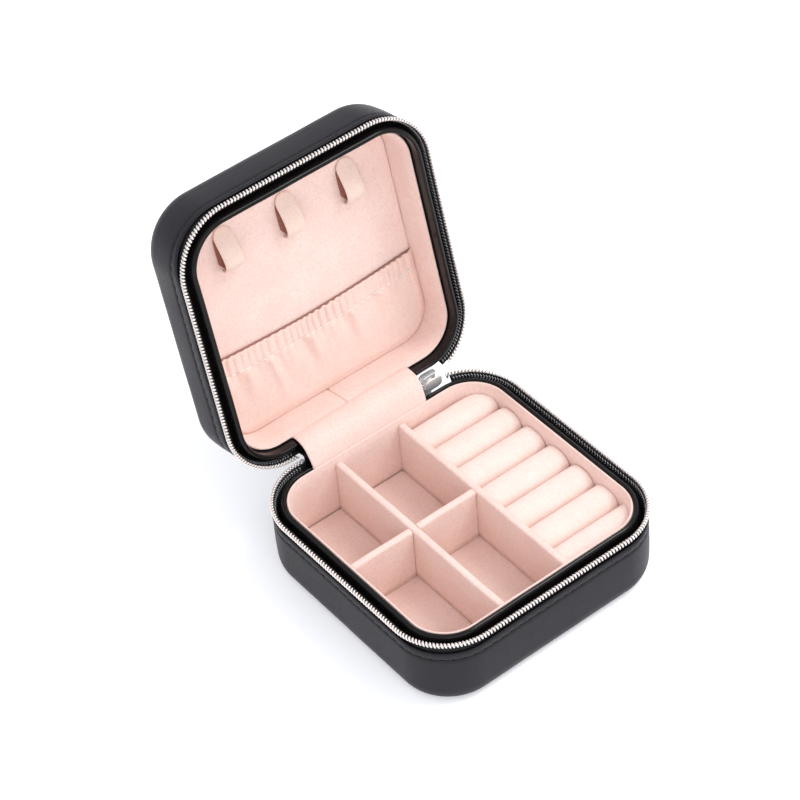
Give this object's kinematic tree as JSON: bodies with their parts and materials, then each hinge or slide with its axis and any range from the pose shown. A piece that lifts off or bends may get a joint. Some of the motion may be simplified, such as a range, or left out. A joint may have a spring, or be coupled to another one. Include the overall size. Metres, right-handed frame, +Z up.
{
  "type": "jewellery case",
  "caption": "Small square zip-round jewellery case, open, with a hinged lid, velvet-lined compartments, ring rolls, necklace hooks and an elastic pocket.",
  "frame": {"origin": "centre of the base's flat underside", "axes": "+Z up, +Y towards the hinge at the back, +X towards the ring rolls"},
  "size_m": [0.0994, 0.1429, 0.1239],
  "materials": {
    "leather": "black imitation leather, fine grain, semi-gloss",
    "rim_skin": "smooth glossy black imitation leather",
    "zip_tape": "woven black polyester tape",
    "zip_metal": "polished silver with a warm tint",
    "velvet": "short-nap blush pink velvet",
    "board": "grey stiffening board"
  },
  "bodies": {
    "base": {"base_side_band": "leather", "base_bottom_panel": "leather", "base_bottom_board": "board", "base_side_board": "board", "base_zip_tape": "zip_tape", "base_zip_teeth": "zip_metal", "base_inner_rim": "rim_skin", "base_side_lining": "velvet", "base_floor_lining": "velvet", "divider_long_left": "velvet", "divider_long_right": "velvet", "divider_cross_left": "velvet", "divider_cross_middle": "velvet", "ring_roll_tray": "board", "ring_roll_1": "velvet", "ring_roll_2": "velvet", "ring_roll_3": "velvet", "ring_roll_4": "velvet", "ring_roll_5": "velvet", "ring_roll_6": "velvet", "ring_roll_7": "velvet", "zip_end_stop": "zip_metal", "hinge_spine_base": "leather", "hinge_lining_base": "velvet"},
    "lid": {"lid_side_band": "leather", "lid_top_panel": "leather", "lid_top_board": "board", "lid_side_board": "board", "lid_zip_tape": "zip_tape", "lid_zip_teeth": "zip_metal", "lid_inner_rim": "rim_skin", "lid_side_lining": "velvet", "lid_panel_lining": "velvet", "lid_panel_board": "board", "lid_pocket": "velvet", "necklace_hook_1": "velvet", "necklace_hook_2": "velvet", "necklace_hook_3": "velvet", "hinge_spine_lid": "leather", "hinge_lining_lid": "velvet"},
    "slider": {"zip_slider": "zip_metal"},
    "pull": {"zip_pull": "zip_metal"}
  },
  "joints": [
    {"name": "lid_hinge", "type": "hinge", "parent": "base", "child": "lid", "pos_m": [0, 0.04925, 0.0276], "axis": [-1, 0, 0], "range_deg": [-102.9, 0]},
    {"name": "slider_travel", "type": "slide", "parent": "base", "child": "slider", "axis": [1, 0, 0], "range_m": [0, 0.0025]},
    {"name": "pull_swing", "type": "hinge", "parent": "slider", "child": "pull", "pos_m": [0.0279, 0.0524, 0.0254], "axis": [1, 0, 0], "range_deg": [-8, 65]}
  ]
}
